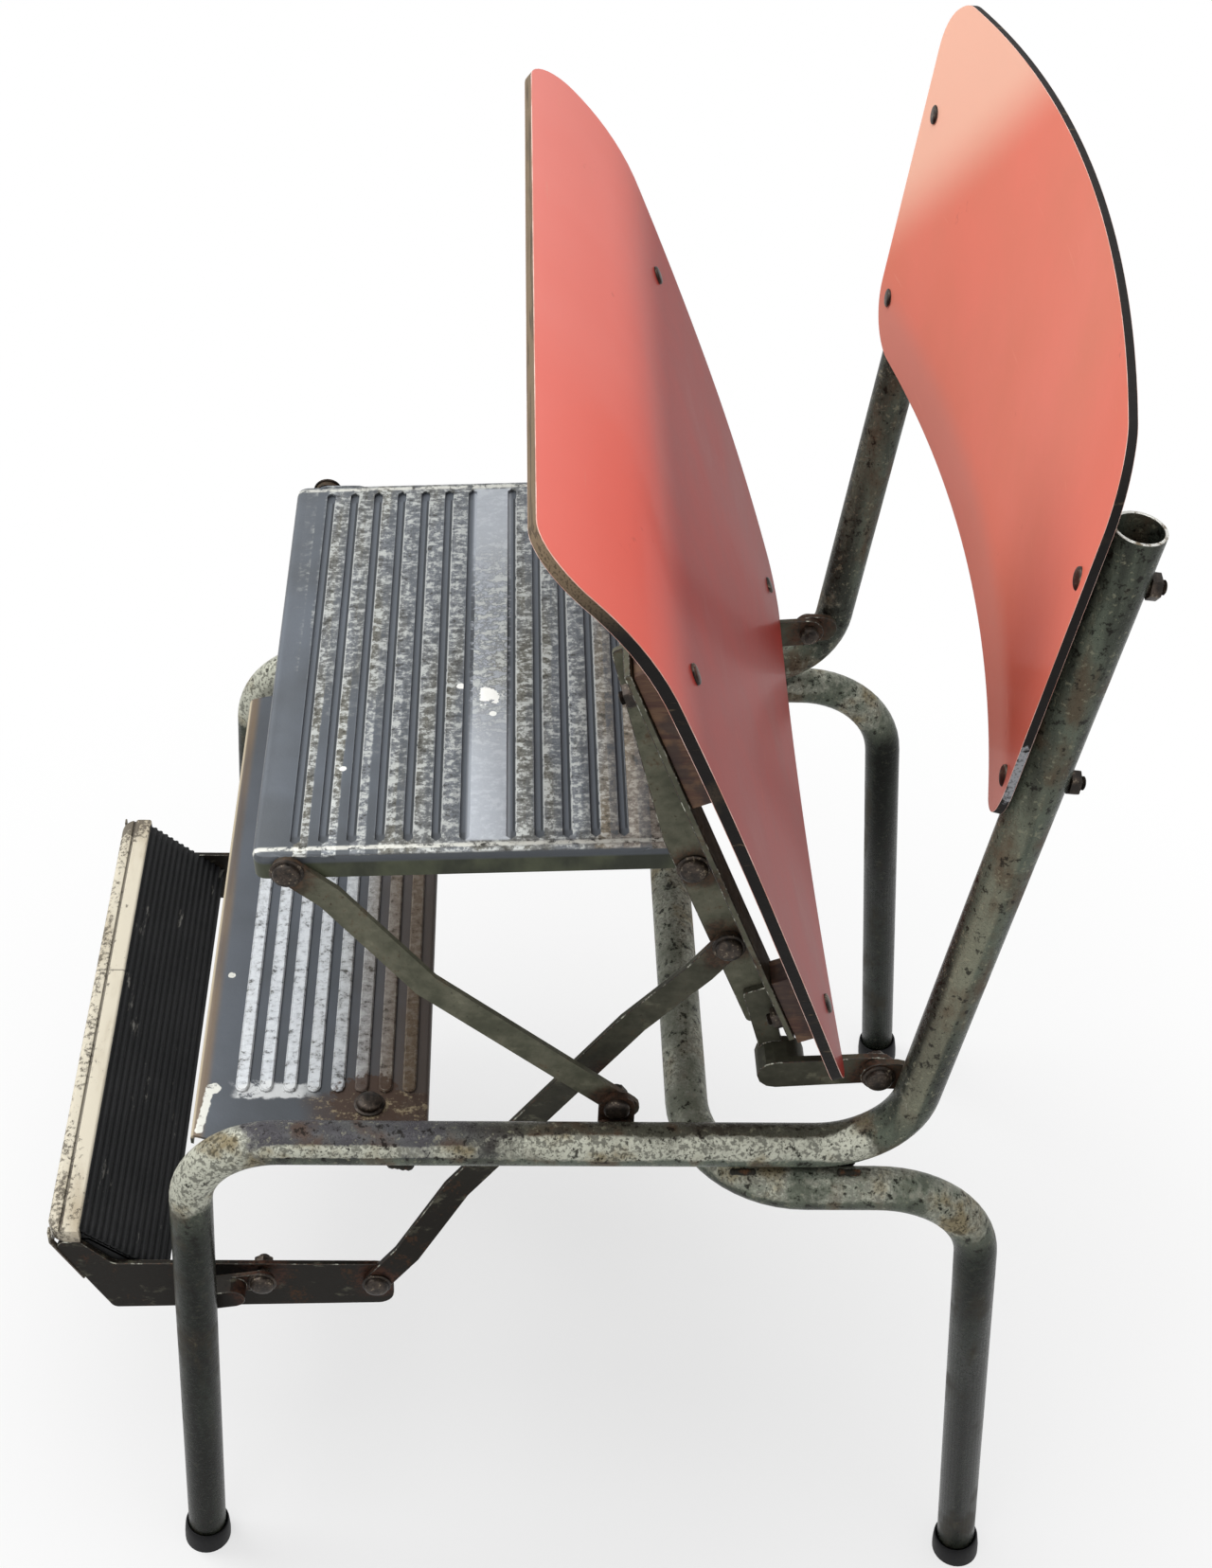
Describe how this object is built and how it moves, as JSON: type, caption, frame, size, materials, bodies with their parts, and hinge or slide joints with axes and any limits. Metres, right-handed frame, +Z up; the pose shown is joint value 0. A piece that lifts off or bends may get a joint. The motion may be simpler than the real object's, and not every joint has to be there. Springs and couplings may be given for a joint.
{
  "type": "folding step stool chair",
  "caption": "Bent-tube chair with a curved back whose seat tips up and swings two steps out on linked flat bars, making a step stool.",
  "frame": {"origin": "on the floor, in the plane of symmetry, below the middle of the whole chair fore and aft, 199 mm behind the middles of the front feet", "axes": "+Z up, -Y towards the front where the steps come out, +X to the chair's own left"},
  "size_m": [0.4432, 0.5327, 0.7895],
  "materials": {
    "tube": "grey-green enamel, worn pale and rusted at the bends",
    "link": "dull olive-brown paint with rust at the bolts",
    "plate": "grey paint worn through to pale metal on the ribs",
    "laminate": "coral laminate on plywood with dark edges",
    "wood": "raw strip, oiled and dirty",
    "rubber": "matt, ribbed on the tread",
    "nosing": "ivory paint, pitted",
    "screw": "browned and slotted"
  },
  "bodies": {
    "frame": {"rear_leg_tube": "tube", "fixed_step_plate": "plate", "backrest_panel": "laminate", "side_tube_left": "tube", "side_tube_right": "tube", "front_foot_left": "rubber", "front_foot_right": "rubber", "rear_foot_left": "rubber", "rear_foot_right": "rubber", "seat_hinge_lug_left": "link", "seat_hinge_lug_right": "link", "front_link_lug_left": "link", "front_link_lug_right": "link", "lower_step_strap_left": "link", "lower_step_strap_right": "link", "fixed_step_lug_left": "link", "fixed_step_lug_right": "link", "fixed_step_screw_left": "screw", "fixed_step_screw_right": "screw", "backrest_screw_upper_left": "screw", "backrest_screw_upper_right": "screw", "backrest_screw_lower_left": "screw", "backrest_screw_lower_right": "screw", "hinge_bolt_left": "screw", "hinge_bolt_right": "screw", "front_link_foot_bolt_left": "screw", "front_link_foot_bolt_right": "screw", "lower_step_pivot_bolt_left": "screw", "lower_step_pivot_bolt_right": "screw"},
    "seat": {"seat_panel": "laminate", "seat_arm_left": "link", "seat_arm_right": "link", "seat_packer_front_left": "wood", "seat_packer_front_right": "wood", "seat_packer_rear_left": "wood", "seat_packer_rear_right": "wood", "seat_screw_front_left": "screw", "seat_screw_front_right": "screw", "seat_screw_rear_left": "screw", "seat_screw_rear_right": "screw", "seat_hinge_bracket_left": "link", "seat_hinge_bracket_right": "link", "upper_step_rear_bolt_left": "screw", "upper_step_rear_bolt_right": "screw", "long_link_top_bolt_left": "screw", "long_link_top_bolt_right": "screw"},
    "upper_step": {"upper_step_plate": "plate"},
    "front_link_l": {"front_link_left": "link", "upper_step_front_bolt_left": "screw"},
    "front_link_r": {"front_link_right": "link", "upper_step_front_bolt_right": "screw"},
    "long_link_l": {"long_link_left": "link", "long_link_foot_bolt_left": "screw"},
    "long_link_r": {"long_link_right": "link", "long_link_foot_bolt_right": "screw"},
    "lower_step": {"lower_step_pan": "link", "lower_step_rubber": "rubber", "lower_step_nosing": "nosing", "lower_step_arm_left": "link", "lower_step_arm_right": "link"}
  },
  "joints": [
    {"name": "seat_fold", "type": "hinge", "parent": "frame", "child": "seat", "pos_m": [0, 0.1587, 0.4061], "axis": [1, 0, 0], "range_deg": [0, 54]},
    {"name": "upper_step_pivot", "type": "hinge", "parent": "seat", "child": "upper_step", "pos_m": [0, 0.06244, 0.52367], "axis": [1, 0, 0], "range_deg": [-46.2, 0]},
    {"name": "front_link_pivot_left", "type": "hinge", "parent": "frame", "child": "front_link_l", "pos_m": [0, 0.0329, 0.3759], "axis": [1, 0, 0], "range_deg": [0, 45.4]},
    {"name": "front_link_pivot_right", "type": "hinge", "parent": "frame", "child": "front_link_r", "pos_m": [0, 0.0329, 0.3759], "axis": [1, 0, 0], "range_deg": [0, 45.4]},
    {"name": "long_link_pivot_left", "type": "hinge", "parent": "seat", "child": "long_link_l", "pos_m": [0, 0.08188, 0.47618], "axis": [1, 0, 0], "range_deg": [-64.6, 0]},
    {"name": "long_link_pivot_right", "type": "hinge", "parent": "seat", "child": "long_link_r", "pos_m": [0, 0.08188, 0.47618], "axis": [1, 0, 0], "range_deg": [-64.6, 0]},
    {"name": "lower_step_pivot", "type": "hinge", "parent": "frame", "child": "lower_step", "pos_m": [0, -0.153, 0.2243], "axis": [1, 0, 0], "range_deg": [-91.5, 0]}
  ],
  "couplings": [
    {"joint": "upper_step_pivot", "follows": "seat_fold", "ratio": -0.853},
    {"joint": "front_link_pivot_left", "follows": "seat_fold", "ratio": 0.839},
    {"joint": "front_link_pivot_right", "follows": "seat_fold", "ratio": 0.839},
    {"joint": "long_link_pivot_left", "follows": "seat_fold", "ratio": -1.194},
    {"joint": "long_link_pivot_right", "follows": "seat_fold", "ratio": -1.194},
    {"joint": "lower_step_pivot", "follows": "seat_fold", "ratio": -1.692}
  ]
}
